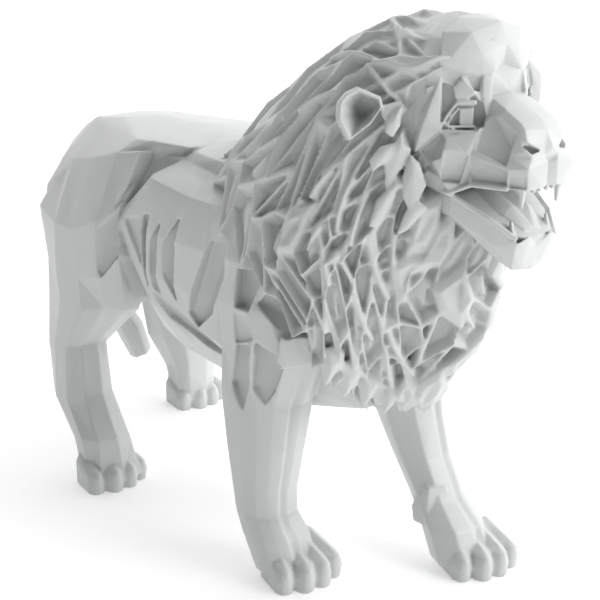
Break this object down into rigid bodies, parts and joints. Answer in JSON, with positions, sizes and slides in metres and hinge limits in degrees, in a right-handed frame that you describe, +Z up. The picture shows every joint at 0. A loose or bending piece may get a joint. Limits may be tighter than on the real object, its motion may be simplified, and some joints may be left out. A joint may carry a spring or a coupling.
{
  "type": "resin lion sculpture",
  "caption": "Walking lion with open mouth and full mane, cast in one piece with faceted planes; stands on its own paws as a garden or hall ornament.",
  "frame": {"origin": "on the ground under the middle of the bounding box", "axes": "+X the way the lion faces, +Y its left side, +Z up"},
  "size_m": [1.126, 0.4222, 0.8],
  "materials": {
    "white_resin": "satin white gel coat"
  },
  "bodies": {
    "root": {"lion": "white_resin"}
  },
  "joints": []
}
